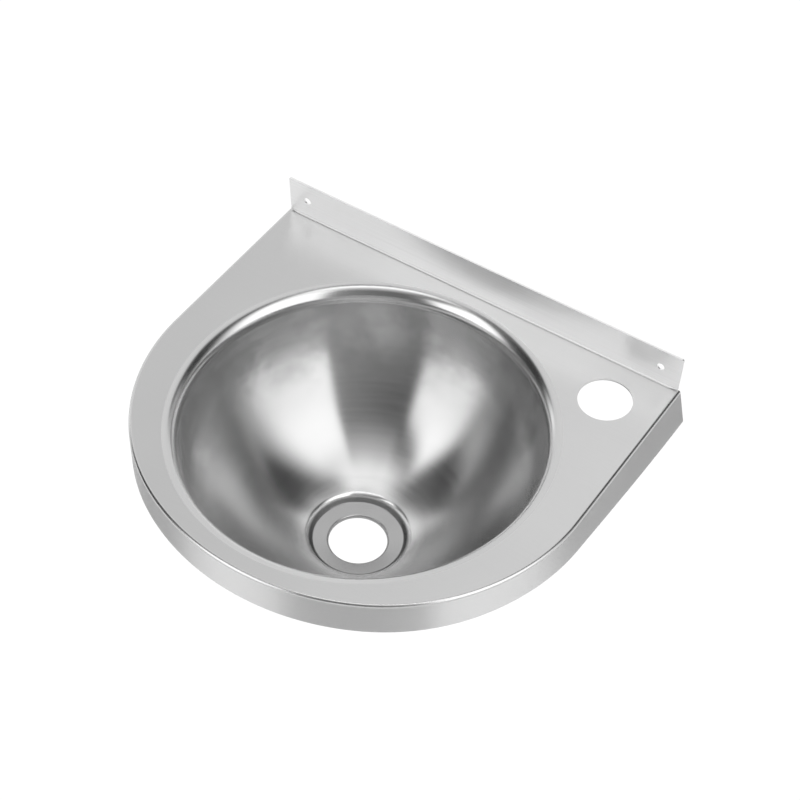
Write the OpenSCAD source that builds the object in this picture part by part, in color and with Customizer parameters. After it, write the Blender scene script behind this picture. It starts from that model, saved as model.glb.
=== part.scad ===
// Small wall-hung hand wash basin in brushed stainless sheet.
// X runs along the wall, +Y points into the wall and Z is up. The origin lies on the wall face,
// midway between the two fixing holes in the upstand. Lengths are in millimetres.

/* [Deck] */
// Width of the deck along the wall
deck_w = 302; // [292:1:316]
// Reach of the deck from the wall to its front edge
deck_d = 270; // [264:1:300]
// Distance of each round front corner's centre from the centre line
corner_mid = 12; // [6:1:18]
// How much larger the radius of the shallow front curve is than that of the corners
front_more = 26; // [20:1:50]
// Thickness of the deck and apron sheet
sheet_t = 1.2; // [0.8:0.1:1.5]
// Outer radius of the dressed edge where deck and apron meet
edge_r = 2; // [1.6:0.1:3]

/* [Upstand] */
// Height of the upstand above the deck
upstand_h = 28.5; // [22:0.5:60]
// How far each end of the upstand's top edge stands in from the side of the deck
upstand_in = 0.7; // [0.5:0.1:6]
// How much each end of the upstand draws in from its top to the fold
end_taper = 1; // [0:0.1:3]
// Radius of the upstand's two top corners
tip_r = 1.5; // [0.5:0.1:5]
// Inside radius of the fold between deck and upstand
fold_r = 1.5; // [1:0.1:3]
// Length of the relief slit at each end of the fold
relief_l = 7; // [4:0.5:12]
// Height of the relief slit where it runs out at the end
relief_h = 1.6; // [1:0.1:3]

/* [Wall fixings] */
// Distance of each fixing hole from the end of the upstand
fix_in = 14.8; // [11:0.1:50]
// Diameter of the fixing holes
fix_d = 5.2; // [4:0.1:7]
// Height of the fixing holes above the deck
fix_h = 14.2; // [10:0.1:18]

/* [Tap hole] */
// Diameter of the tap hole
tap_d = 35; // [28:0.5:38]
// Distance of the tap hole from the right side of the deck
tap_side = 36; // [31:0.5:41]
// Distance of the tap hole from the wall
tap_y = 33; // [28:0.5:36]

/* [Apron] */
// Depth of the apron below the deck
apron_h = 25.6; // [18:0.1:40]
// How far the lower corners of the free rear ends spring outwards
flare = 4.9; // [0:0.1:8]
// Length from each rear end over which that spring dies away
flare_reach = 200; // [120:1:240]

/* [Bowl] */
// Land left between the wall and the round bowl
land_back = 18.5; // [16:0.5:24]
// Land left between the bowl and the front edge of the deck
land_front = 19.5; // [17:0.5:30]
// Land left between the bowl and each side of the deck
land_side = 35; // [33:0.5:50]
// Thickness of the drawn bowl
bowl_t = 1.2; // [0.8:0.1:1.5]
// Radius of the mouth where the deck rolls down to the bowl
roll_r = 8.5; // [5:0.5:10]
// Length of the straight collar below the rolled mouth
collar_l = 1.5; // [1:0.1:4]
// Width of the weld between the mouth and the bowl
seam_w = 1.4; // [1:0.1:3]
// How far that weld stands proud of the sheet on each side after dressing
seam_proud = 0.05; // [0.02:0.01:0.4]
// How far the bowl's bottom stands to the left, because the bowl is welded in at a slight tilt
bottom_left = 2.9; // [0:0.1:5]
// How far the bowl's bottom stands towards the front for the same reason
bottom_front = 1.3; // [0:0.1:5]

/* [Waste recess] */
// Diameter across the shoulder of the recess
recess_d = 67.4; // [60:0.2:76]
// Depth of the recess at its rim
recess_h = 4.6; // [3:0.1:6]
// Diameter of the recess floor
floor_d = 60.6; // [54:0.2:64]
// Fall of the recess floor from its rim to the waste hole
floor_fall = 1.4; // [0.5:0.1:3]
// Radius of the bends at the shoulder and round the floor
recess_r = 1.5; // [0.8:0.1:2]
// Diameter of the waste hole
waste_d = 39; // [36:0.5:46]
// Depth of the lip turned down round the waste hole
lip_h = 2.4; // [2.2:0.1:4]
// Outer bend radius of that lip
lip_r = 1.6; // [1.5:0.1:2]

/* [Earth tag] */
// Width of the bonding tag under the deck
tag_w = 12; // [8:0.5:20]
// Length of the tag's foot against the deck
tag_foot = 14; // [10:0.5:20]
// Length of the tag's leg below the deck
tag_leg = 16; // [12:0.5:17]
// Distance of the tag from the left side of the deck
tag_side = 33; // [26:0.5:39]
// Distance of the tag's leg from the wall
tag_y = 16; // [12:0.5:24]
// Diameter of the hole in the tag
tag_hole_d = 5.2; // [4:0.1:6]

/* [Hidden] */
$fn = 180;
// Overrun by which every cut passes its faces
cut = 1;
half_w = deck_w / 2;
// Plan of the edge: the corners' and the front curve's radii, the front's centre, the straight sides
corner_r = half_w - corner_mid;
front_r = corner_r + front_more;
front_y = -(deck_d - front_r);
side_l = -front_y + sqrt(pow(front_more, 2) - pow(corner_mid, 2));
// Angle that each corner turns through, from square to the wall to the front curve
corner_turn = atan2(side_l + front_y, corner_mid);
front_turn = 90 - corner_turn;
corner_l = corner_r * corner_turn * PI / 180;
half_l = side_l + corner_l + front_r * front_turn * PI / 180;
// Steps in each stretch of the edge
side_steps = 16;
corner_steps = 30;
front_steps = 16;
// Angle by which one shape reaches into the next, inside the edge or the sheet that they share
overlap_turn = 5;
// Sheet lines of the fold, seen from the side
fold_out = fold_r + sheet_t;
upstand_w = deck_w - 2 * upstand_in;
fix_pitch = upstand_w - 2 * fix_in;
tap_x = half_w - tap_side;
tag_x = half_w - tag_side;
// Inside diameter of the bowl, the largest that leaves its lands all round, and its centre line
bowl_d = min(deck_d - land_back - land_front, deck_w - 2 * land_side);
bowl_y = (deck_d + land_back - land_front) / 2;
bowl_r = bowl_d / 2;
// Rolled mouth: its centre stands beside the bowl's sphere, so that the two curves meet smoothly
roll_x = sqrt(pow(bowl_r + roll_r, 2) - pow(roll_r, 2));
roll_turn = asin(roll_r / (bowl_r + roll_r));
seam_top = roll_turn + collar_l / bowl_r * 180 / PI;
seam_end = seam_top + seam_w / bowl_r * 180 / PI;
// Waste recess lines, as radius and height below the deck
shoulder = [recess_d / 2, -sqrt(pow(bowl_r, 2) - pow(recess_d / 2, 2))];
floor_rim = [floor_d / 2, shoulder.y - recess_h];
waste_rim = [waste_d / 2, floor_rim.y - floor_fall];
lip_end = [waste_d / 2, waste_rim.y - lip_h];
// Tilt of the bowl about its centre, which puts its bottom where it stands
bowl_tilt = [asin(bottom_front / waste_rim.y), -asin(bottom_left / waste_rim.y), 0];
// Angle below level where the plain sphere hands over to the recess
bowl_turn = acos((recess_d / 2 + 2 * recess_r) / bowl_r);
bend_steps = 8;
roll_steps = 20;
weld_steps = 5;

// A point at a radius and an angle from the X axis
function polar(r, a) = r * [cos(a), sin(a)];

function unit(v) = v / norm(v);

// The left-hand side of a direction
function left(v) = [-v.y, v.x];

// Rounds the corner at b, between a and c, with radius r
function bend(a, b, c, r) =
    let (
        u = unit(a - b),
        v = unit(c - b),
        half = acos(u * v) / 2,
        middle = b + unit(u + v) * r / sin(half),
        start = b + u * r / tan(half) - middle,
        stop = b + v * r / tan(half) - middle,
        a0 = atan2(start.y, start.x),
        turn = atan2(start.x * stop.y - start.y * stop.x, start * stop)
    )
    [for (i = [0 : bend_steps]) middle + polar(r, a0 + turn * i / bend_steps)];

// The same line moved to its left by a sheet's thickness, with its first point moved along first_way
function other_side(p, t, first_way) =
    let (last = len(p) - 1)
    [for (i = [0 : last])
        let (
            before = i > 0 ? unit(p[i] - p[i - 1]) : unit(p[1] - p[0]),
            after = i < last ? unit(p[i + 1] - p[i]) : before,
            way = unit(left(before) + left(after))
        )
        i == 0 ? p[0] + t * first_way : p[i] + way * t / (way * left(before))];

function mirrored(v) = [-v.x, v.y];

function reversed(p) = [for (i = [len(p) - 1 : -1 : 0]) p[i]];

// A place on the right half of the edge, u along it from the wall: [point, outward direction]
function edge_at(u) =
    u <= side_l ? [[half_w, -u], [1, 0]]
    : u <= side_l + corner_l ?
        let (a = -(u - side_l) / corner_r * 180 / PI)
        [[corner_mid, -side_l] + polar(corner_r, a), polar(1, a)]
    :
        let (a = -corner_turn - (u - side_l - corner_l) / front_r * 180 / PI)
        [[0, front_y] + polar(front_r, a), polar(1, a)];

// How far the apron's lower edge springs outwards at u
function spring_at(u) = u < flare_reach ? flare * pow(1 - pow(u / flare_reach, 2), 2) : 0;

// Places round the whole edge: [point, outward direction, spring of the lower edge]
right_places = [
    for (u = [
        for (i = [0 : side_steps - 1]) side_l * i / side_steps,
        for (i = [0 : corner_steps - 1]) side_l + corner_l * i / corner_steps,
        for (i = [0 : front_steps]) half_l - (half_l - side_l - corner_l) * (1 - i / front_steps)
    ])
    [each edge_at(u), spring_at(u)]
];
edge_places = concat(right_places, [
    for (i = [len(right_places) - 2 : -1 : 0])
        let (at = right_places[i])
        [mirrored(at[0]), mirrored(at[1]), at[2]]
]);

// Moves from the deck's top face to the part's origin
module on_wall() translate([0, 0, -fix_h]) children();

module at_bowl() translate([0, -bowl_y, 0]) children();

// Sector of a ring between two angles, or of a disc where the inner radius is zero
module ring_sector(r_in, r_out, a0, a1) {
    intersection() {
        difference() {
            circle(r_out);
            if (r_in > 0) circle(r_in);
        }
        polygon([
            [0, 0],
            polar(2 * r_out, a0),
            polar(2 * r_out, (a0 + a1) / 2),
            polar(2 * r_out, a1)
        ]);
    }
}

// Plan of the deck, drawn in from its edge
module deck_plan(inset) {
    translate([-half_w + inset, -side_l]) square([deck_w - 2 * inset, side_l]);
    for (side = [0, 1]) mirror([side, 0])
        translate([corner_mid, -side_l])
            ring_sector(0, corner_r - inset, -corner_turn - overlap_turn, 0);
    translate([0, front_y]) ring_sector(0, front_r - inset, -corner_turn - 2 * front_turn, -corner_turn);
}

// Flat of the deck, without the fold that carries the upstand
module deck_flat() {
    difference() {
        translate([0, 0, -sheet_t]) linear_extrude(sheet_t) deck_plan(edge_r);
        translate([-upstand_w / 2 + relief_l, -fold_out, -sheet_t - cut])
            cube([upstand_w - 2 * relief_l, fold_out + cut, sheet_t + 2 * cut]);
        at_bowl() translate([0, 0, -sheet_t - cut]) cylinder(r = roll_x, h = sheet_t + 2 * cut);
        translate([tap_x, -tap_y, -sheet_t - cut]) cylinder(d = tap_d, h = sheet_t + 2 * cut);
    }
}

// Mouth rolled down from the deck, with the collar that meets the bowl
module mouth() {
    line = concat(
        [for (i = [0 : roll_steps])
            [roll_x, -roll_r] + polar(roll_r, 90 + (90 - roll_turn) * i / roll_steps)],
        [polar(bowl_r, -seam_top)]
    );
    at_bowl() rotate_extrude() polygon(concat(line, reversed(other_side(line, sheet_t, [0, -1]))));
}

// Face of the upstand, with rounded tips and drawn-in ends
module upstand_face() {
    tip = upstand_w / 2;
    foot = tip - end_taper;
    polygon(concat(
        [[-foot, fold_r], [foot, fold_r]],
        bend([foot, fold_r], [tip, upstand_h], [-tip, upstand_h], tip_r),
        bend([tip, upstand_h], [-tip, upstand_h], [-foot, fold_r], tip_r)
    ));
}

// Upstand with its fold and the two fixing holes
module upstand() {
    foot_w = upstand_w - 2 * end_taper;
    difference() {
        union() {
            rotate([90, 0, 0]) linear_extrude(sheet_t) upstand_face();
            translate([-foot_w / 2, -fold_out, fold_r]) rotate([90, 0, 90])
                linear_extrude(foot_w) ring_sector(fold_r, fold_out, -90, 0);
        }
        for (side = [-1, 1])
            translate([side * fix_pitch / 2, cut, fix_h])
                rotate([90, 0, 0]) cylinder(d = fix_d, h = sheet_t + 2 * cut);
        for (side = [0, 1]) mirror([side, 0, 0]) relief();
    }
}

// Relief at an end of the fold: a slit that opens towards the end, with the fold cut away under it
module relief() {
    tip = upstand_w / 2;
    translate([0, cut, 0]) rotate([90, 0, 0]) linear_extrude(fold_out + 2 * cut)
        polygon([
            [tip - relief_l, -sheet_t - cut],
            [tip + cut, -sheet_t - cut],
            [tip + cut, relief_h],
            [tip - relief_l, 0]
        ]);
}

module deck_panel() {
    color("gainsboro") on_wall() {
        deck_flat();
        mouth();
        upstand();
    }
}

// Sweeps a section along the edge, from the right rear end round to the left. A section's points
// are [distance outwards from the edge, height, share of the spring], its outer side first.
module edge_sweep(section) {
    count = len(section);
    rings = [for (at = edge_places, p = section)
        [each (at[0] + (p[0] + p[2] * at[2]) * at[1]), p[1]]];
    last = (len(edge_places) - 1) * count;
    faces = [
        for (i = [0 : count / 2 - 2])
            let (q = [i, i + 1, count - 2 - i, count - 1 - i])
            each [q, last * [1, 1, 1, 1] + reversed(q)],
        for (ring = [0 : count : last - count], k = [0 : count - 1])
            let (n = (k + 1) % count)
            each [
                [ring + k, ring + count + k, ring + count + n],
                [ring + k, ring + count + n, ring + n]
            ]
    ];
    polyhedron(rings, faces);
}

// Strip bent round the deck's edge, upright at the front and sprung outwards at its free ends
module apron() {
    color("darkgray") on_wall() edge_sweep([
        [0, -edge_r, 0],
        [0, -apron_h, 1],
        [-sheet_t, -apron_h, 1],
        [-sheet_t, -edge_r, 0]
    ]);
}

// Weld metal that joins the deck to the apron, dressed to a round edge
module apron_weld() {
    turn = [for (i = [0 : weld_steps]) 90 * i / weld_steps];
    outside = [for (a = reversed(turn)) polar(edge_r, a)];
    inside = [for (a = turn) polar(edge_r - sheet_t, a)];
    color("silver") on_wall()
        edge_sweep([for (p = concat(outside, inside)) [p.x - edge_r, p.y - edge_r, 0]]);
}

// Top face of the waste recess, from the sphere in to the foot of the lip
function recess_line() =
    let (handover = polar(bowl_r, -bowl_turn))
    concat(
        [handover],
        bend(handover, shoulder, floor_rim, recess_r),
        bend(shoulder, floor_rim, waste_rim, recess_r),
        bend(floor_rim, waste_rim, lip_end, lip_r),
        [lip_end]
    );

// Drawn bowl: a hemisphere with a stepped recess and a lipped hole for the waste, tilted and then
// trimmed level under the weld. The recess reaches into the hemisphere's sheet, between its two
// faces, so that they are one body.
module bowl() {
    line = recess_line();
    inside = [for (share = [2, 1] / 3) polar(bowl_r + share * bowl_t, overlap_turn - bowl_turn)];
    color("lightgray") on_wall() at_bowl() difference() {
        rotate(bowl_tilt) rotate_extrude() {
            ring_sector(bowl_r, bowl_r + bowl_t, -bowl_turn, 0);
            polygon(concat(line, reversed(other_side(line, bowl_t, polar(1, -bowl_turn))), inside));
        }
        rotate_extrude() ring_sector(bowl_r - cut, bowl_r + bowl_t + cut, -seam_end, overlap_turn);
    }
}

// Weld ring between the mouth and the bowl
module bowl_weld() {
    color("silver") on_wall() at_bowl() rotate_extrude()
        ring_sector(bowl_r - seam_proud, bowl_r + bowl_t + seam_proud, -seam_end, -seam_top);
}

// Tag spot-welded under the deck for the bonding wire
module earth_tag() {
    color("gray") on_wall() translate([-tag_x, -tag_y, -sheet_t]) difference() {
        union() {
            translate([-tag_w / 2, -tag_foot, -sheet_t]) cube([tag_w, tag_foot, sheet_t]);
            translate([-tag_w / 2, -sheet_t, -tag_leg]) cube([tag_w, sheet_t, tag_leg]);
        }
        translate([0, cut, -tag_leg + tag_w / 2]) rotate([90, 0, 0])
            cylinder(d = tag_hole_d, h = sheet_t + 2 * cut);
    }
}

deck_panel();
apron();
apron_weld();
bowl();
bowl_weld();
earth_tag();
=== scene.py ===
import math

import bpy
from mathutils import Matrix, Vector
from mathutils.geometry import delaunay_2d_cdt


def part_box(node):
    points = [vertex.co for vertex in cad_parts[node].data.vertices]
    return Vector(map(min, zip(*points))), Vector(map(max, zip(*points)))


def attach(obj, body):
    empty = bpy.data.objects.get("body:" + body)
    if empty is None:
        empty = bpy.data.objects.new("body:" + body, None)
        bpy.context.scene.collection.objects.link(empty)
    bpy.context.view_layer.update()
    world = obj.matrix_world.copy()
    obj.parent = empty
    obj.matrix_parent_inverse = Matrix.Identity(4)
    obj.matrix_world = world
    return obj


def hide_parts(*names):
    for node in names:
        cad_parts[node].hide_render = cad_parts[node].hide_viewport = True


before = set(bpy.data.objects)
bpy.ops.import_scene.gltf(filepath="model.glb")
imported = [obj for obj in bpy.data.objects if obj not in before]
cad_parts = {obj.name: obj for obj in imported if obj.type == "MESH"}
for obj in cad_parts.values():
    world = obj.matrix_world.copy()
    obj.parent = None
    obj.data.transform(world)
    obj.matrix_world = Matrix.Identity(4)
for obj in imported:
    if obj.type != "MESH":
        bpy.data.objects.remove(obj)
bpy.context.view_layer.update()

# Deck
DECK_W = 0.302
DECK_D = 0.270
CORNER_MID = 0.012
FRONT_MORE = 0.026
SHEET = 0.0012
EDGE_R = 0.002
FIX_H = 0.0142

# Upstand and its fold
UPSTAND_H = 0.0285
UPSTAND_IN = 0.0007
END_TAPER = 0.001
TIP_R = 0.0015
FOLD_R = 0.0015
RELIEF_L = 0.007
RELIEF_H = 0.0016
FIX_IN = 0.0148
FIX_D = 0.0052

# Tap hole
TAP_D = 0.035
TAP_SIDE = 0.036
TAP_Y = 0.033

# Apron
APRON_H = 0.0256
FLARE = 0.0049
FLARE_REACH = 0.200
CUT_ROUND = 0.00022

# Bowl, mouth and waste recess
BOWL_D = 0.232
BOWL_Y = 0.1345
BOWL_T = 0.0012
ROLL_R = 0.0085
COLLAR_L = 0.0015
SEAM_W = 0.0014
SEAM_PROUD = 0.00005
BOTTOM_LEFT = 0.0029
BOTTOM_FRONT = 0.0013
RECESS_D = 0.0674
RECESS_H = 0.0046
FLOOR_D = 0.0606
FLOOR_FALL = 0.0014
RECESS_R = 0.0015
SHOULDER_R = 0.006
WASTE_D = 0.039
LIP_H = 0.0024
LIP_R = 0.0016

# Earth tag
TAG_W = 0.012
TAG_FOOT = 0.014
TAG_LEG = 0.016
TAG_SIDE = 0.033
TAG_Y = 0.016
TAG_HOLE_D = 0.0052
TAG_BEND = 0.0008

# Rounding of the cut edges
DECK_BEVEL = 0.00018
CUT_BEVEL = 0.00015

# Where the marks on the metal fade in or out, as pairs: depths under the deck's top, distances from the
# waste hole's middle, heights over the deck's top and places along the wall. The recess and crease pairs
# place painted shade, the shoulder pair a painted highlight, and the deck's reach a painted light gradient.
HAZE_DEPTHS = (0.085, 0.040)
STRETCH_DEPTHS = (0.080, 0.045)
BELT_LOW_DEPTHS = (0.084, 0.056)
BELT_HIGH_DEPTHS = (0.050, 0.032)
MOTTLE_DEPTHS = (0.075, 0.035)
RECESS_SHADE_DEPTHS = (0.106, 0.104)
RECESS_SHADE_STEP = (0.0318, 0.0332)
RECESS_SHADE_FLOOR = (0.0297, 0.0306)
SHOULDER_HIGHLIGHT = (0.035, 0.046)
CREASE_HEIGHTS = (0.0006, 0.0022)
CREASE_PLACES = (-0.05, 0.10)
DECK_LIGHT_REACH = 0.22

# Steps in the curves
ROUND_STEPS = 288
HOLE_STEPS = 96
SCREW_STEPS = 48
SIDE_STEPS = 40
CORNER_STEPS = 90
FRONT_STEPS = 60
ROLL_STEPS = 28
BEND_STEPS = 12
EDGE_STEPS = 12
SPHERE_STEPS = 96
FOLD_COLUMNS = 96
FOLD_STEPS = 10
APRON_STEPS = 6
CUT_STEPS = 4
SEAM_STEPS = 10

half_w = DECK_W / 2
corner_r = half_w - CORNER_MID
front_r = corner_r + FRONT_MORE
front_y = -(DECK_D - front_r)
side_l = -front_y + math.sqrt(FRONT_MORE**2 - CORNER_MID**2)
corner_turn = math.atan2(side_l + front_y, CORNER_MID)
front_turn = math.pi / 2 - corner_turn
corner_l = corner_r * corner_turn
half_l = side_l + corner_l + front_r * front_turn
upstand_half = half_w - UPSTAND_IN
foot_half = upstand_half - END_TAPER
slit_x = upstand_half - RELIEF_L
fold_out = FOLD_R + SHEET
fix_x = upstand_half - FIX_IN
tap_x = half_w - TAP_SIDE
tag_x = half_w - TAG_SIDE

bowl_r = BOWL_D / 2
roll_x = math.sqrt((bowl_r + ROLL_R) ** 2 - ROLL_R**2)
roll_turn = math.asin(ROLL_R / (bowl_r + ROLL_R))
seam_top = roll_turn + COLLAR_L / bowl_r
seam_end = seam_top + SEAM_W / bowl_r
bowl_turn = math.acos((RECESS_D / 2 + 2 * RECESS_R) / bowl_r)
shoulder = Vector((RECESS_D / 2, -math.sqrt(bowl_r**2 - (RECESS_D / 2) ** 2)))
floor_rim = Vector((FLOOR_D / 2, shoulder.y - RECESS_H))
waste_rim = Vector((WASTE_D / 2, floor_rim.y - FLOOR_FALL))
lip_end = Vector((WASTE_D / 2, waste_rim.y - LIP_H))
bowl_centre = Vector((0, -BOWL_Y, -FIX_H))
tilt_x = math.asin(BOTTOM_FRONT / waste_rim.y)
tilt_y = -math.asin(BOTTOM_LEFT / waste_rim.y)


# Plane geometry
def polar(radius, angle):
    return Vector((radius * math.cos(angle), radius * math.sin(angle)))


def left(v):
    return Vector((-v.y, v.x))


def bend(a, b, c, radius, steps=BEND_STEPS):
    """The corner at b, between a and c, rounded with a radius."""
    u = (a - b).normalized()
    v = (c - b).normalized()
    half = math.acos(max(-1, min(1, u.dot(v)))) / 2
    middle = b + (u + v).normalized() * radius / math.sin(half)
    start = b + u * radius / math.tan(half) - middle
    stop = b + v * radius / math.tan(half) - middle
    first = math.atan2(start.y, start.x)
    turn = math.atan2(start.x * stop.y - start.y * stop.x, start.dot(stop))
    return [middle + polar(radius, first + turn * i / steps) for i in range(steps + 1)]


def other_side(line, thickness, first_way):
    """The same line moved to its left, with its first point moved along first_way."""
    moved = [line[0] + thickness * first_way]
    for i in range(1, len(line)):
        before = (line[i] - line[i - 1]).normalized()
        after = (line[i + 1] - line[i]).normalized() if i + 1 < len(line) else before
        way = (left(before) + left(after)).normalized()
        moved.append(line[i] + way * thickness / way.dot(left(before)))
    return moved


def circle(centre, radius, steps):
    return [Vector(centre) + polar(radius, 2 * math.pi * i / steps) for i in range(steps)]


def edge_at(u):
    """A place on the right half of the deck's edge, u along it from the wall: point and outward way."""
    if u <= side_l:
        return Vector((half_w, -u)), Vector((1, 0))
    if u <= side_l + corner_l:
        way = polar(1, -(u - side_l) / corner_r)
        return Vector((CORNER_MID, -side_l)) + corner_r * way, way
    way = polar(1, -corner_turn - (u - side_l - corner_l) / front_r)
    return Vector((0, front_y)) + front_r * way, way


def spring_at(u):
    """How far the apron's lower edge springs outwards at u."""
    return FLARE * (1 - (u / FLARE_REACH) ** 2) ** 2 if u < FLARE_REACH else 0


def edge_places():
    """Places round the whole edge from the right rear end: point, outward way, spring."""
    stretches = ((0, side_l, SIDE_STEPS), (side_l, corner_l, CORNER_STEPS))
    along = [start + length * i / n for start, length, n in stretches for i in range(n)]
    front_l = half_l - side_l - corner_l
    along += [half_l - front_l * (1 - i / FRONT_STEPS) for i in range(FRONT_STEPS + 1)]
    right = [(*edge_at(u), spring_at(u)) for u in along]
    mirror = Matrix(((-1, 0), (0, 1)))
    return right + [(mirror @ p, mirror @ way, s) for p, way, s in reversed(right[:-1])]


places = edge_places()


# Mesh building
def finish_piece(name, verts, faces, slot, materials, indices=None, sharp=35):
    """A piece at the deck's height that stands for the CAD node of its name."""
    mesh = bpy.data.meshes.new(name)
    mesh.from_pydata([Vector(v) + Vector((0, 0, -FIX_H)) for v in verts], [], faces)
    mesh.validate()
    for material in materials:
        mesh.materials.append(material)
    if indices:
        mesh.polygons.foreach_set("material_index", indices)
    mesh.shade_smooth()
    mesh.set_sharp_from_angle(angle=math.radians(sharp))
    mesh.update()
    piece = bpy.data.objects.new(name + "_steel", mesh)
    bpy.context.scene.collection.objects.link(piece)
    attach(piece, "root")
    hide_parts(name)
    return piece


def round_cut_edges(piece, width, kept=lambda point: True):
    """Rounds the sharp cut edges whose two ends are kept, and keeps the flats flat."""
    mesh = piece.data
    weights = mesh.attributes.new("bevel_weight_edge", "FLOAT", "EDGE")
    sharp = mesh.attributes["sharp_edge"].data
    for edge in mesh.edges:
        ends = [mesh.vertices[i].co for i in edge.vertices]
        weights.data[edge.index].value = 1.0 if sharp[edge.index].value and all(map(kept, ends)) else 0.0
    bevel = piece.modifiers.new("cut_edges", "BEVEL")
    bevel.limit_method = "WEIGHT"
    bevel.width = width
    bevel.segments = 2
    bevel.use_clamp_overlap = True
    normals = piece.modifiers.new("flat_faces", "WEIGHTED_NORMAL")
    normals.keep_sharp = True


def revolve(profile, steps=ROUND_STEPS):
    """A closed profile of (radius, height) points turned round the bowl's axis."""
    verts = []
    for i in range(steps):
        way = polar(1, 2 * math.pi * i / steps)
        verts += [(p.x * way.x, p.x * way.y - BOWL_Y, p.y) for p in profile]
    count = len(profile)
    faces = []
    for i in range(steps):
        a = i * count
        b = (i + 1) % steps * count
        for k in range(count):
            n = (k + 1) % count
            faces.append((a + k, b + k, b + n, a + n))
    return verts, faces


def sweep(section):
    """A closed section of (outwards, height, spring share) points carried along the deck's edge."""
    verts = []
    for point, way, spring in places:
        verts += [(*(point + (out + share * spring) * way), height) for out, height, share in section]
    count = len(section)
    faces = []
    for ring in range(len(places) - 1):
        a = ring * count
        b = a + count
        for k in range(count):
            n = (k + 1) % count
            faces.append((a + k, a + n, b + n, b + k))
    last = (len(places) - 1) * count
    faces.append(tuple(reversed(range(count))))
    faces.append(tuple(range(last, last + count)))
    return verts, faces


class Shell:
    """A sheet given by pairs of points, one on each face, with its cut edges closed at the end."""

    def __init__(self):
        self.top = []
        self.under = []
        self.faces = []
        self.kinds = []

    def point(self, top, under):
        self.top.append(Vector(top))
        self.under.append(Vector(under))
        return len(self.top) - 1

    def face(self, corners, kind):
        self.faces.append(tuple(corners))
        self.kinds.append(kind)

    def fill(self, outline, holes, flat, kind):
        """Fills the outline less its round holes, all lists of point numbers, with triangles."""
        loops = [outline, *holes]
        order = [number for loop in loops for number in loop]
        edges = []
        for loop in loops:
            start = len(edges)
            edges += [(start + i, start + (i + 1) % len(loop)) for i in range(len(loop))]
        inside_only = 1
        merge_within = 1e-9
        found = delaunay_2d_cdt([flat(self.top[n]) for n in order], edges, [], inside_only, merge_within)
        points, triangles, origins = found[0], found[2], found[3]
        for triangle in triangles:
            a, b, c = (points[k] for k in triangle)
            turned = triangle if (b - a).cross(c - a) > 0 else reversed(triangle)
            corners = [order[origins[k][0]] for k in turned]
            if not any(set(corners) <= set(hole) for hole in holes):
                self.face(corners, kind)

    def built(self):
        """Vertices, faces and the kind of each face, with the under side and the cut edges."""
        shift = len(self.top)
        faces = list(self.faces)
        kinds = list(self.kinds)
        used = {}
        for face, kind in zip(self.faces, self.kinds):
            faces.append(tuple(n + shift for n in reversed(face)))
            kinds.append(kind)
            for k, n in enumerate(face):
                used[(n, face[(k + 1) % len(face)])] = kind
        for (a, b), kind in used.items():
            if (b, a) not in used:
                faces.append((b, a, a + shift, b + shift))
                kinds.append(kind)
        return self.top + self.under, faces, kinds


# Shaders
class Nodes:
    """Short ways to add nodes to a node tree."""

    def __init__(self, tree):
        self.tree = tree

    def add(self, kind, settings=(), **inputs):
        node = self.tree.nodes.new(kind)
        for key, value in dict(settings).items():
            setattr(node, key, value)
        for key, value in inputs.items():
            self.put(node.inputs[key.replace("_", " ")], value)
        return node

    def put(self, socket, value):
        if isinstance(value, bpy.types.NodeSocket):
            self.tree.links.new(value, socket)
        else:
            socket.default_value = value

    def math(self, operation, a, b=0.0, c=0.0):
        node = self.tree.nodes.new("ShaderNodeMath")
        node.operation = operation
        for socket, value in zip(node.inputs, (a, b, c)):
            self.put(socket, value)
        return node.outputs[0]

    def ramp(self, value, low, high, to_low=0.0, to_high=1.0, smooth=True):
        node = self.add("ShaderNodeMapRange", {"interpolation_type": "SMOOTHSTEP" if smooth else "LINEAR"})
        numbers = {"Value": value, "From Min": low, "From Max": high, "To Min": to_low, "To Max": to_high}
        for name, number in numbers.items():
            self.put(node.inputs[name], number)
        return node.outputs["Result"]

    def vector(self, x, y, z):
        node = self.tree.nodes.new("ShaderNodeCombineXYZ")
        for socket, value in zip(node.inputs, (x, y, z)):
            self.put(socket, value)
        return node.outputs[0]

    def noise(self, vector, scale, detail=2.0, roughness=0.5):
        node = self.add("ShaderNodeTexNoise", Scale=scale, Detail=detail, Roughness=roughness)
        self.put(node.inputs["Vector"], vector)
        return node.outputs["Fac"]

    def mix(self, factor, a, b):
        node = self.tree.nodes.new("ShaderNodeMix")
        node.data_type = "RGBA"
        self.put(node.inputs[0], factor)
        self.put(node.inputs[6], a)
        self.put(node.inputs[7], b)
        return node.outputs[2]


def material(name):
    made = bpy.data.materials.new(name)
    made.use_nodes = True
    made.node_tree.nodes.clear()
    return made, Nodes(made.node_tree)


def place_parts(nodes):
    """The place on the piece, in metres, as separate x, y and z."""
    place = nodes.add("ShaderNodeTexCoord").outputs["Object"]
    split = nodes.add("ShaderNodeSeparateXYZ", Vector=place)
    return place, split.outputs[0], split.outputs[1], split.outputs[2]


def straight_grain(nodes):
    """Long streaks along the wall, about a third of a millimetre across."""
    along = 9
    across = 2600
    _, x, y, z = place_parts(nodes)
    return nodes.vector(
        nodes.math("MULTIPLY", x, along),
        nodes.math("MULTIPLY", y, across),
        nodes.math("MULTIPLY", z, across),
    )


def length(nodes, across, along):
    """The length of a level line, from its two parts."""
    squares = (nodes.math("MULTIPLY", part, part) for part in (across, along))
    return nodes.math("SQRT", nodes.math("ADD", *squares))


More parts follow.
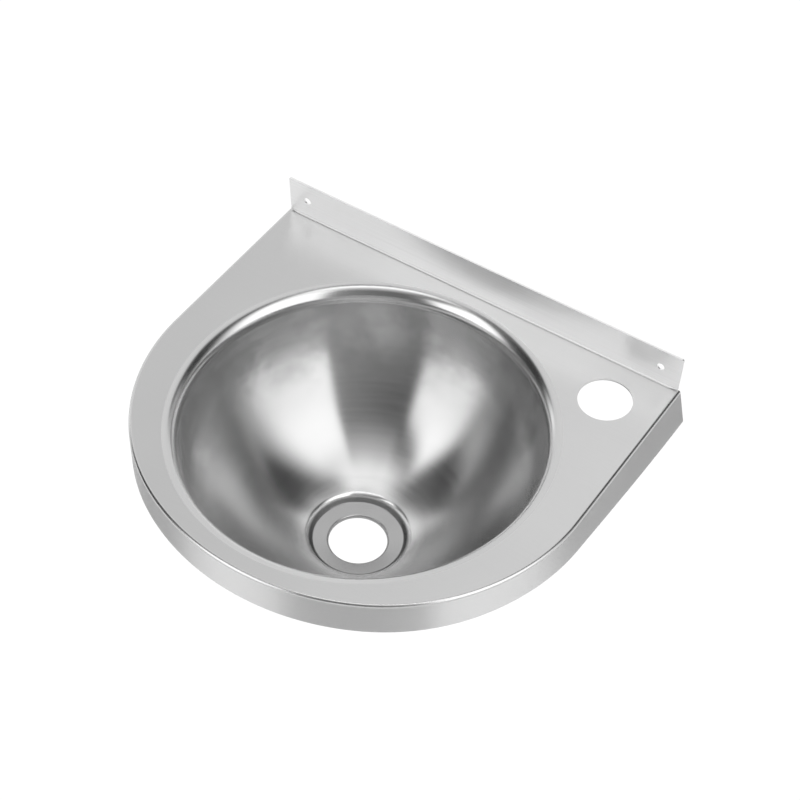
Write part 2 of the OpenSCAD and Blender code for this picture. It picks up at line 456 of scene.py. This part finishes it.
def round_grain(nodes):
    """Fine rings round the bowl's axis."""
    rings = 500
    turns = 1.4
    least = 0.001
    _, x, y, z = place_parts(nodes)
    across = nodes.math("ADD", y, BOWL_Y)
    down = nodes.math("ADD", z, FIX_H)
    radius = length(nodes, x, across)
    along = nodes.math("ARCTAN2", down, radius)
    rim = nodes.math("MAXIMUM", radius, least)
    return nodes.vector(
        nodes.math("MULTIPLY", along, rings * bowl_r),
        nodes.math("MULTIPLY", nodes.math("DIVIDE", x, rim), turns),
        nodes.math("MULTIPLY", nodes.math("DIVIDE", across, rim), turns),
    )


def no_mark(nodes):
    return 0.0


def steel(name, colour, roughness, stretch, grain, tangent, streaks, depth=0.00002,
          haze=no_mark, more_stretch=no_mark, painted_shade=no_mark, painted_light_and_mottle=no_mark, flatter=no_mark):
    """Brushed stainless steel: streaks of the grain, soft clouds of wear and a stretched gloss, with
    optional painted shade and painted light scaling its colour.
    """
    colour_spread = 0.02
    roughness_spread = 0.08
    clouds = 0.01
    made, nodes = material(name)
    place = place_parts(nodes)[0]
    lines = nodes.noise(grain(nodes), scale=1.0, detail=3.0, roughness=0.65)
    cloud = nodes.noise(place, scale=28.0, detail=3.0, roughness=0.55)
    patch = nodes.noise(place, scale=9.0, detail=1.0, roughness=0.5)
    tones = [(tone, tone, tone, 1) for tone in (colour, colour + colour_spread)]
    streak = nodes.ramp(lines, 0.25, 0.75, to_low=1 - streaks, to_high=1 + streaks, smooth=False)
    # painted shade: the colour is darkened by the given shade mask
    streak = nodes.math("MULTIPLY", streak, nodes.math("SUBTRACT", 1.0, painted_shade(nodes)))
    # painted light, and on the bowl random mottle: the colour is brightened by the given mask
    streak = nodes.math("MULTIPLY", streak, nodes.math("ADD", 1.0, painted_light_and_mottle(nodes)))
    shade = nodes.add("ShaderNodeVectorMath", {"operation": "SCALE"})
    nodes.put(shade.inputs[0], nodes.mix(nodes.ramp(patch, 0.35, 0.65), *tones))
    nodes.put(shade.inputs["Scale"], streak)
    smoothest = roughness * (1 - roughness_spread)
    roughest = roughness * (1 + roughness_spread)
    rough = nodes.math(
        "ADD",
        nodes.ramp(lines, 0.25, 0.75, to_low=smoothest, to_high=roughest, smooth=False),
        nodes.ramp(cloud, 0.3, 0.7, to_low=-clouds, to_high=clouds, smooth=False),
    )
    lifted = nodes.add("ShaderNodeVectorMath", {"operation": "ADD"})
    nodes.put(lifted.inputs[0], nodes.add("ShaderNodeNewGeometry").outputs["Normal"])
    nodes.put(lifted.inputs[1], nodes.vector(0.0, 0.0, flatter(nodes)))
    normal = nodes.add("ShaderNodeVectorMath", {"operation": "NORMALIZE"})
    nodes.put(normal.inputs[0], lifted.outputs[0])
    bump = nodes.add("ShaderNodeBump", Strength=0.35, Distance=depth, Height=lines, Normal=normal.outputs[0])
    shader = nodes.add("ShaderNodeBsdfPrincipled", Metallic=1.0, Normal=bump.outputs[0])
    nodes.put(shader.inputs["Base Color"], shade.outputs[0])
    nodes.put(shader.inputs["Roughness"], nodes.math("ADD", rough, haze(nodes)))
    nodes.put(shader.inputs["Anisotropic"], nodes.math("ADD", stretch, more_stretch(nodes)))
    if tangent:
        nodes.put(shader.inputs["Tangent"], tangent(nodes))
    nodes.put(nodes.add("ShaderNodeOutputMaterial").inputs[0], shader.outputs[0])
    return made


def across_wall(nodes):
    """The gloss of a grain along the wall stretches across it."""
    slant = 0.7
    return nodes.vector(0.0, slant, slant)


def up_edge(nodes):
    """The gloss of a grain along the apron stretches up and down it."""
    return nodes.vector(0.0, 0.0, 1.0)


def down_bowl(nodes):
    """The gloss of rings round the bowl stretches down its side."""
    fall = 0.03
    _, x, y, _ = place_parts(nodes)
    return nodes.vector(x, nodes.math("ADD", y, BOWL_Y), -fall)


def by_depth(nodes, depths, at_deep, at_shallow):
    """Eases from one value to another between two depths under the deck's top."""
    deep, shallow = depths
    z = place_parts(nodes)[3]
    return nodes.ramp(z, -FIX_H - deep, -FIX_H - shallow, at_deep, at_shallow)


def dull_near_mouth(nodes):
    """The bowl is hazier toward its mouth."""
    return by_depth(nodes, HAZE_DEPTHS, at_deep=0.0, at_shallow=0.04)


def longer_near_mouth(nodes):
    """The gloss is stretched more toward the mouth."""
    return by_depth(nodes, STRETCH_DEPTHS, at_deep=0.0, at_shallow=0.18)


def flatter_belt(nodes):
    """How far the shading normal leans up in a belt under the mouth, as if the drawn sheet ran a little
    flatter than a true sphere there.
    """
    low_part = by_depth(nodes, BELT_LOW_DEPTHS, at_deep=0.0, at_shallow=0.13)
    high_part = by_depth(nodes, BELT_HIGH_DEPTHS, at_deep=1.0, at_shallow=0.0)
    return nodes.math("MULTIPLY", low_part, high_part)


def deck_painted_light(nodes):
    """Painted light: the deck's colour is a little brighter toward its right rear corner and darker toward
    its left front.
    """
    rear_share = 0.7
    _, x, y, _ = place_parts(nodes)
    along = nodes.math("ADD", x, nodes.math("MULTIPLY", nodes.math("ADD", y, BOWL_Y), rear_share))
    # painted light gradient across the deck's colour
    return nodes.ramp(along, -DECK_LIGHT_REACH, DECK_LIGHT_REACH, to_low=-0.10, to_high=0.10)


def from_waste(nodes):
    """The distance from the waste hole's middle, seen from above."""
    _, x, y, _ = place_parts(nodes)
    return length(nodes, nodes.math("ADD", x, BOTTOM_LEFT), nodes.math("ADD", y, BOWL_Y + BOTTOM_FRONT))


def bowl_highlight_and_mottle(nodes):
    """A painted highlight round the shoulder of the waste recess, and mottled metal toward the mouth."""
    # painted highlight: the colour is brightened round the recess shoulder
    shoulder_highlight = nodes.ramp(from_waste(nodes), *SHOULDER_HIGHLIGHT, to_low=0.38, to_high=0.0)
    patches = nodes.noise(place_parts(nodes)[0], scale=24.0, detail=4.0, roughness=0.6)
    mottle = nodes.ramp(patches, low=0.40, high=0.60, to_low=-0.12, to_high=0.12)
    near_mouth = by_depth(nodes, MOTTLE_DEPTHS, at_deep=0.0, at_shallow=1.0)
    return nodes.math("ADD", shoulder_highlight, nodes.math("MULTIPLY", mottle, near_mouth))


def recess_painted_shade(nodes):
    """Painted shade down the step of the waste recess and a little on its floor."""
    step_shade = 0.72
    less_on_floor = 0.32
    radius = from_waste(nodes)
    # painted shade: the colour is darkened down the recess step, less on its floor
    inside = nodes.ramp(radius, *RECESS_SHADE_STEP, to_low=step_shade, to_high=0.0)
    floor_part = nodes.ramp(radius, *RECESS_SHADE_FLOOR, to_low=less_on_floor, to_high=0.0)
    low_down = by_depth(nodes, RECESS_SHADE_DEPTHS, at_deep=1.0, at_shallow=0.0)
    return nodes.math("MULTIPLY", nodes.math("SUBTRACT", inside, floor_part), low_down)


def fold_painted_shade(nodes):
    """Painted shade in a band where the upstand is folded up, a little deeper to the left."""
    low, high = CREASE_HEIGHTS
    _, x, _, z = place_parts(nodes)
    # painted shade: the colour is darkened in a band at the foot of the upstand
    band = nodes.ramp(z, -FIX_H + low, -FIX_H + high, to_low=1.0, to_high=0.0)
    return nodes.math("MULTIPLY", band, nodes.ramp(x, *CREASE_PLACES, to_low=0.43, to_high=0.36))


deck_steel = steel(
    "deck_brushed", colour=0.635, roughness=0.33, stretch=0.35, grain=straight_grain, tangent=across_wall,
    streaks=0.025, painted_light_and_mottle=deck_painted_light,
)
# The upstand is the deck's own sheet, but its colour is set far above the deck's: painted light.
upstand_painted_bright_steel = steel(
    "upstand_brushed_painted_bright", colour=0.925, roughness=0.33, stretch=0.6, grain=straight_grain, tangent=across_wall,
    streaks=0.06, painted_shade=fold_painted_shade,
)
roll_steel = steel(
    "mouth_polished", colour=0.65, roughness=0.22, stretch=0.3, grain=round_grain, tangent=down_bowl,
    streaks=0.03,
)
apron_steel = steel(
    "apron_brushed", colour=0.725, roughness=0.43, stretch=1.0, grain=straight_grain, tangent=up_edge,
    streaks=0.03,
)
weld_steel = steel(
    "weld_dressed", colour=0.65, roughness=0.235, stretch=0.0, grain=straight_grain, tangent=None,
    streaks=0.03,
)
bowl_steel = steel(
    "bowl_brushed", colour=0.57, roughness=0.205, stretch=0.82, grain=round_grain, tangent=down_bowl,
    streaks=0.02, depth=0.000002, haze=dull_near_mouth, more_stretch=longer_near_mouth, painted_shade=recess_painted_shade,
    painted_light_and_mottle=bowl_highlight_and_mottle, flatter=flatter_belt,
)
seam_steel = steel(
    "seam_dressed", colour=0.65, roughness=0.235, stretch=0.65, grain=round_grain, tangent=down_bowl,
    streaks=0.03,
)
tag_steel = steel(
    "tag_mill", colour=0.58, roughness=0.42, stretch=0.0, grain=straight_grain, tangent=None,
    streaks=0.04,
)


# Pieces
def deck_panel():
    """Deck with its mouth, tap hole and the upstand folded up at the wall."""
    shell = Shell()
    flat_kind, upstand_kind, roll_kind = range(3)
    columns = [-foot_half + 2 * foot_half * i / FOLD_COLUMNS for i in range(FOLD_COLUMNS + 1)]
    attached = [x for x in columns if abs(x) < slit_x - SHEET]
    wing = [slit_x + (foot_half - slit_x) * i / BEND_STEPS for i in range(1, BEND_STEPS + 1)]
    columns = [*(-x for x in reversed(wing)), -slit_x, *attached, slit_x, *wing]

    def deck_point(p):
        return shell.point((p.x, p.y, 0), (p.x, p.y, -SHEET))

    # Fold, from the deck up to the upright, drawn back above the relief slit at both ends
    rows = []
    for x in columns:
        slit_z = max(0, abs(x) - slit_x) * RELIEF_H / RELIEF_L
        first = math.acos(1 - slit_z / FOLD_R)
        first_under = math.acos((FOLD_R - slit_z) / fold_out) if abs(x) > slit_x else 0
        row = []
        for i in range(FOLD_STEPS + 1):
            turns = [a + (math.pi / 2 - a) * i / FOLD_STEPS for a in (first, first_under)]
            arcs = zip(turns, (FOLD_R, fold_out))
            ends = [(x, -fold_out + r * math.sin(a), FOLD_R - r * math.cos(a)) for a, r in arcs]
            row.append(shell.point(*ends))
        rows.append(row)
    for a, b in zip(rows, rows[1:]):
        for k in range(FOLD_STEPS):
            shell.face((a[k], b[k], b[k + 1], a[k + 1]), upstand_kind)

    # Flat of the deck
    start = len(wing)
    rear = [row[0] for row in rows[start : len(rows) - start]]
    outline = [deck_point(p - EDGE_R * way) for p, way, _ in places]
    corner_right = deck_point(Vector((slit_x, 0)))
    corner_left = deck_point(Vector((-slit_x, 0)))
    mouth = [deck_point(p) for p in circle((0, -BOWL_Y), roll_x, ROUND_STEPS)]
    tap = [deck_point(p) for p in circle((tap_x, -TAP_Y), TAP_D / 2, HOLE_STEPS)]
    shell.fill([*outline, corner_left, *rear, corner_right], [mouth, tap], lambda p: p.xy, flat_kind)

    # Rolled mouth and its collar
    roll_centre = Vector((roll_x, -ROLL_R))
    turns = [math.pi / 2 + (math.pi / 2 - roll_turn) * i / ROLL_STEPS for i in range(ROLL_STEPS + 1)]
    line = [roll_centre + polar(ROLL_R, a) for a in turns] + [polar(bowl_r, -seam_top)]
    under = other_side(line, SHEET, Vector((0, -1)))
    before = mouth
    for p, q in zip(line[1:], under[1:]):
        ring = []
        for i in range(ROUND_STEPS):
            way = polar(1, 2 * math.pi * i / ROUND_STEPS)
            ends = [(r.x * way.x, r.x * way.y - BOWL_Y, r.y) for r in (p, q)]
            ring.append(shell.point(*ends))
        for i in range(ROUND_STEPS):
            n = (i + 1) % ROUND_STEPS
            shell.face((before[i], before[n], ring[n], ring[i]), roll_kind)
        before = ring

    # Upright face with its rounded tips and the two fixing holes
    def wall_point(x, z):
        return shell.point((x, -SHEET, z), (x, 0, z))

    foot = [row[-1] for row in rows]
    tips = []
    for s in (1, -1):
        low_corner = Vector((s * foot_half, FOLD_R))
        high_corner = Vector((s * upstand_half, UPSTAND_H))
        tips.append(bend(low_corner, high_corner, Vector((0, UPSTAND_H)), TIP_R))
    edge = [wall_point(p.x, p.y) for p in [*tips[0], *reversed(tips[1])]]
    screws = [
        [wall_point(p.x, p.y) for p in circle((s * fix_x, FIX_H), FIX_D / 2, SCREW_STEPS)] for s in (1, -1)
    ]
    shell.fill([*foot, *edge], screws, lambda p: Vector((p.x, p.z)), upstand_kind)

    verts, faces, kinds = shell.built()
    slots = [deck_steel, upstand_painted_bright_steel, roll_steel]
    piece = finish_piece("deck_panel", verts, faces, "deck_steel", slots, kinds, sharp=40)

    def clear_of_weld(point):
        """On the upstand or round the tap hole, whose cut edges no weld covers."""
        at_tap = math.hypot(point.x - tap_x, point.y + TAP_Y) < TAP_D / 2 + SHEET
        return at_tap or point.z > -FIX_H + EDGE_R / 2

    round_cut_edges(piece, DECK_BEVEL, clear_of_weld)
    return piece


def apron():
    """Strip bent round the deck's edge, upright at the front and sprung outwards at its rear ends."""
    r = CUT_ROUND
    rows = [-EDGE_R - (APRON_H - EDGE_R - r) * i / APRON_STEPS for i in range(APRON_STEPS + 1)]
    quarter = [math.pi / 2 * i / CUT_STEPS for i in range(1, CUT_STEPS + 1)]
    outer = [(0, z) for z in rows]
    outer += [(r * (math.cos(a) - 1), -APRON_H + r - r * math.sin(a)) for a in quarter]
    inner = [(-SHEET - out, z) for out, z in reversed(outer)]
    section = [(out, z, (-z - EDGE_R) / (APRON_H - EDGE_R)) for out, z in outer + inner]
    return finish_piece("apron", *sweep(section), "deck_steel", [apron_steel])


def apron_weld():
    """Weld metal between deck and apron, dressed to a round edge."""
    turns = [math.pi / 2 * i / EDGE_STEPS for i in range(EDGE_STEPS + 1)]
    outside = [polar(EDGE_R, a) for a in reversed(turns)]
    inside = [polar(EDGE_R - SHEET, a) for a in turns]
    section = [(p.x - EDGE_R, p.y - EDGE_R, 0) for p in outside + inside]
    return finish_piece("apron_weld", *sweep(section), "dressed_weld", [weld_steel], sharp=50)


def tilted(share):
    """A share of the bowl's tilt, which is nothing at its weld and the whole of it at the recess."""
    return Matrix.Rotation(share * tilt_y, 3, "Y") @ Matrix.Rotation(share * tilt_x, 3, "X")


def bowl():
    """Drawn bowl: a hemisphere with a stepped recess and a lipped waste hole, set in at a slight tilt."""
    turns = [seam_end + (bowl_turn - seam_end) * i / SPHERE_STEPS for i in range(SPHERE_STEPS)]
    sphere = [polar(bowl_r, -a) for a in turns]
    sphere_under = [polar(bowl_r + BOWL_T, -a) for a in turns]
    handover = polar(bowl_r, -bowl_turn)
    line = [handover]
    line += bend(handover, shoulder, floor_rim, SHOULDER_R)
    line += bend(shoulder, floor_rim, waste_rim, RECESS_R)
    line += bend(floor_rim, waste_rim, lip_end, LIP_R)
    line += [lip_end]
    under = other_side(line, BOWL_T, polar(1, -bowl_turn))
    profile = sphere + line + list(reversed(sphere_under + under))
    shares = [i / SPHERE_STEPS for i in range(SPHERE_STEPS)] + [1] * len(line)
    turned = [tilted(share) for share in shares + shares[::-1]]
    verts, faces = revolve(profile)
    middle = Vector((0, -BOWL_Y, 0))
    verts = [middle + turned[i % len(turned)] @ (Vector(v) - middle) for i, v in enumerate(verts)]
    piece = finish_piece("bowl", verts, faces, "bowl_steel", [bowl_steel], sharp=50)
    round_cut_edges(piece, CUT_BEVEL, lambda point: point.z < bowl_centre.z - bowl_r / 2)
    return piece


def bowl_weld():
    """Dressed bead of weld between the mouth and the bowl."""
    inner = []
    outer = []
    for i in range(SEAM_STEPS + 1):
        share = i / SEAM_STEPS
        proud = SEAM_PROUD * math.sin(math.pi * share)
        turn = -(seam_top + (seam_end - seam_top) * share)
        inner.append(polar(bowl_r - proud, turn))
        outer.insert(0, polar(bowl_r + BOWL_T + proud, turn))
    return finish_piece("bowl_weld", *revolve(inner + outer), "dressed_weld", [seam_steel], sharp=50)


def earth_tag():
    """Bent tag under the deck with a hole for the bonding wire."""
    shell = Shell()
    sides = (-tag_x - TAG_W / 2, -tag_x + TAG_W / 2)
    top_z = -SHEET

    # Foot and bend: the sheet runs from the foot's front end back along the deck, round the bend and down
    foot_y = -TAG_Y - TAG_FOOT
    bend_y = -TAG_Y - TAG_BEND - SHEET
    bend_z = top_z - SHEET - TAG_BEND
    rows = [[shell.point((x, foot_y, top_z - SHEET), (x, foot_y, top_z)) for x in sides]]
    for i in range(BEND_STEPS + 1):
        a = math.pi / 2 * (1 - i / BEND_STEPS)
        ends = [(bend_y + r * math.cos(a), bend_z + r * math.sin(a)) for r in (TAG_BEND, TAG_BEND + SHEET)]
        rows.append([shell.point(*[(x, y, z) for y, z in ends]) for x in sides])
    for a, b in zip(rows, rows[1:]):
        shell.face((a[0], b[0], b[1], a[1]), 0)

    # Leg with its round tip and the hole for the wire
    def leg_point(x, z):
        return shell.point((x, -TAG_Y - SHEET, z), (x, -TAG_Y, z))

    mid_z = top_z - TAG_LEG + TAG_W / 2
    steps = HOLE_STEPS // 2
    tip = []
    for i in range(steps + 1):
        a = math.pi * (1 + i / steps)
        tip.append(leg_point(-tag_x + TAG_W / 2 * math.cos(a), mid_z + TAG_W / 2 * math.sin(a)))
    hole = [leg_point(p.x, p.y) for p in circle((-tag_x, mid_z), TAG_HOLE_D / 2, SCREW_STEPS)]
    shell.fill([*tip, rows[-1][1], rows[-1][0]], [hole], lambda p: Vector((p.x, p.z)), 0)
    verts, faces, kinds = shell.built()
    piece = finish_piece("earth_tag", verts, faces, "tag_steel", [tag_steel], kinds)
    round_cut_edges(piece, CUT_BEVEL)
    return piece


for build in (deck_panel, apron, apron_weld, bowl, bowl_weld, earth_tag):
    build()


# Stage
def put_seen_white(nodes, light, white_kind, output_kind):
    """Ends a node tree with plain white for the camera and the given light for every other ray."""
    white = nodes.add(white_kind, Color=(1, 1, 1, 1), Strength=1.05)
    mixed = nodes.add("ShaderNodeMixShader")
    nodes.put(mixed.inputs[0], nodes.add("ShaderNodeLightPath").outputs["Is Camera Ray"])
    nodes.put(mixed.inputs[1], light)
    nodes.put(mixed.inputs[2], white.outputs[0])
    nodes.put(nodes.add(output_kind).inputs[0], mixed.outputs[0])


def floor():
    """Floor that looks plain white to the camera and is a matt, softly glowing white to all else."""
    reach = 6.0
    grey = 0.85
    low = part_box("bowl")[0].z
    mesh = bpy.data.meshes.new("floor")
    corners = [(-reach, -reach, low), (reach, -reach, low), (reach, reach, low), (-reach, reach, low)]
    mesh.from_pydata(corners, [], [(0, 1, 2, 3)])
    plane = bpy.data.objects.new("floor", mesh)
    bpy.context.scene.collection.objects.link(plane)
    made, nodes = material("floor_white")
    lit = nodes.add("ShaderNodeAddShader")
    nodes.put(lit.inputs[0], nodes.add("ShaderNodeBsdfDiffuse", Color=(grey, grey, grey, 1)).outputs[0])
    nodes.put(lit.inputs[1], nodes.add("ShaderNodeEmission", Color=(1, 1, 1, 1), Strength=0.20).outputs[0])
    put_seen_white(nodes, lit.outputs[0], "ShaderNodeEmission", "ShaderNodeOutputMaterial")
    mesh.materials.append(made)


def studio():
    """Soft panels of light all round the basin in a dim room, behind a background seen as white."""
    all_over = 0.03
    brightness = 1.167
    open_top = (120, 1)
    panels = (
        # Azimuths in degrees from the front toward the right, as from, softness, to and softness; then
        # elevations in the same order, how far the elevations lean with the azimuth, and the strength
        ((-62, 5, -8, 5), (68, 8, *open_top), 0, 1.58),  # overhead, left front
        ((-8, 5, 112, 10), (74, 9, *open_top), 0, 1.10),  # overhead, front and right
        ((-8, 5, 53, 5), (54, 10, *open_top), 0, 0.45),  # high over the front
        ((-4, 3, 54, 3), (-5, 8, *open_top), 0, 0.09),  # dim gap at the front
        ((30, 25, 54, 3), (-5, 8, 50, 10), 0, 0.13),  # right part of the gap
        ((55, 2.5, 112, 16), (-6, 6, *open_top), 0, 0.66),  # tall panel at the right
        ((55, 2.5, 112, 16), (-6, 6, 66, 10), 0, 0.80),  # its lower part
        ((-46, 7, -4, 4), (-6, 6, 48, 7), -0.5, 1.52),  # tall panel at the left front, with a slanted top
        ((-60, 6, -30, 8), (58, 5, 70, 6), 0, 0.18),  # over its left part
        ((-62, 6, -8, 4), (44, 6, 66, 6), 0, 0.12),  # over its whole width
        ((-64, 5, -50, 5), (10, 8, 44, 6), 0, 0.03),  # beside it
        ((268, 5, 298, 5), (46, 6, *open_top), 0, 0.11),  # high at the left
        ((268, 5, 298, 5), (67, 7, *open_top), 0, 0.34),  # overhead, left
        ((172, 5, 266, 6), (-5, 5, 79, 6), 0, 0.74),  # broad panel behind and to the left
        ((160, 5, 172, 5), (39, 5, *open_top), 0, 0.64),  # high behind
        ((148, 6, 160, 5), (56, 6, *open_top), 0, 0.48),  # higher, right of it
        ((116, 8, 150, 6), (54, 6, *open_top), 0, 0.05),  # high at the right rear
        ((112, 6, 148, 6), (79, 5, *open_top), 0, 0.16),  # overhead, right rear
        ((262, 5, 275, 4), (-5, 5, 23, 5), 0, 0.75),  # low at the left
        ((150, 6, 172, 5), (-5, 5, 30, 5), 0, 0.42),  # low behind
        ((116, 6, 150, 6), (-5, 5, 18, 4), 0, 0.18),  # low at the right rear
    )
    world = bpy.data.worlds.new("studio")
    bpy.context.scene.world = world
    world.use_nodes = True
    world.node_tree.nodes.clear()
    nodes = Nodes(world.node_tree)
    way = nodes.add("ShaderNodeTexCoord").outputs["Generated"]
    x, y, z = nodes.add("ShaderNodeSeparateXYZ", Vector=way).outputs
    azimuth = nodes.math("DEGREES", nodes.math("ARCTAN2", x, nodes.math("MULTIPLY", y, -1)))
    elevation = nodes.math("DEGREES", nodes.math("ARCSINE", z))
    total = all_over
    for azimuths, elevations, lean, strength in panels:
        start, start_soft, stop, stop_soft = azimuths
        low, low_soft, high, high_soft = elevations
        half = (stop - start) / 2
        away = nodes.math("WRAP", nodes.math("SUBTRACT", azimuth, start + half), 180.0, -180.0)
        height = nodes.math("SUBTRACT", elevation, nodes.math("MULTIPLY", away, lean))
        edges = (
            nodes.ramp(away, -half - start_soft, -half + start_soft),
            nodes.ramp(away, half - stop_soft, half + stop_soft, 1.0, 0.0),
            nodes.ramp(height, low - low_soft, low + low_soft),
            nodes.ramp(height, high - high_soft, high + high_soft, 1.0, 0.0),
        )
        mask = edges[0]
        for edge in edges[1:]:
            mask = nodes.math("MULTIPLY", mask, edge)
        total = nodes.math("ADD", nodes.math("MULTIPLY", mask, strength), total)
    light = nodes.add("ShaderNodeBackground", Color=(1, 1, 1, 1))
    nodes.put(light.inputs["Strength"], nodes.math("MULTIPLY", total, brightness))
    put_seen_white(nodes, light.outputs[0], "ShaderNodeBackground", "ShaderNodeOutputWorld")


def camera():
    """The photograph's viewpoint."""
    azimuth, elevation, roll = (math.radians(a) for a in (32.80, 48.01, 1.01))
    target = Vector((0.00875, -0.10553, -FIX_H))
    distance = 1.29097
    forward = Vector((
        -math.sin(azimuth) * math.cos(elevation),
        math.cos(azimuth) * math.cos(elevation),
        -math.sin(elevation),
    ))
    right = Vector((math.cos(azimuth), math.sin(azimuth), 0))
    up = right.cross(forward)
    turned_right = right * math.cos(roll) + up * math.sin(roll)
    turned_up = up * math.cos(roll) - right * math.sin(roll)
    data = bpy.data.cameras.new("camera")
    data.lens = 92.84
    data.sensor_width = 36
    data.clip_start = 0.05
    data.clip_end = 50
    eye = bpy.data.objects.new("camera", data)
    bpy.context.scene.collection.objects.link(eye)
    axes = Matrix((turned_right, turned_up, -forward)).transposed().to_4x4()
    eye.matrix_world = Matrix.Translation(target - forward * distance) @ axes
    bpy.context.scene.camera = eye


floor()
studio()
camera()
bpy.context.scene.view_settings.view_transform = "Standard"
bpy.context.scene.view_settings.look = "None"

bpy.context.view_layer.update()
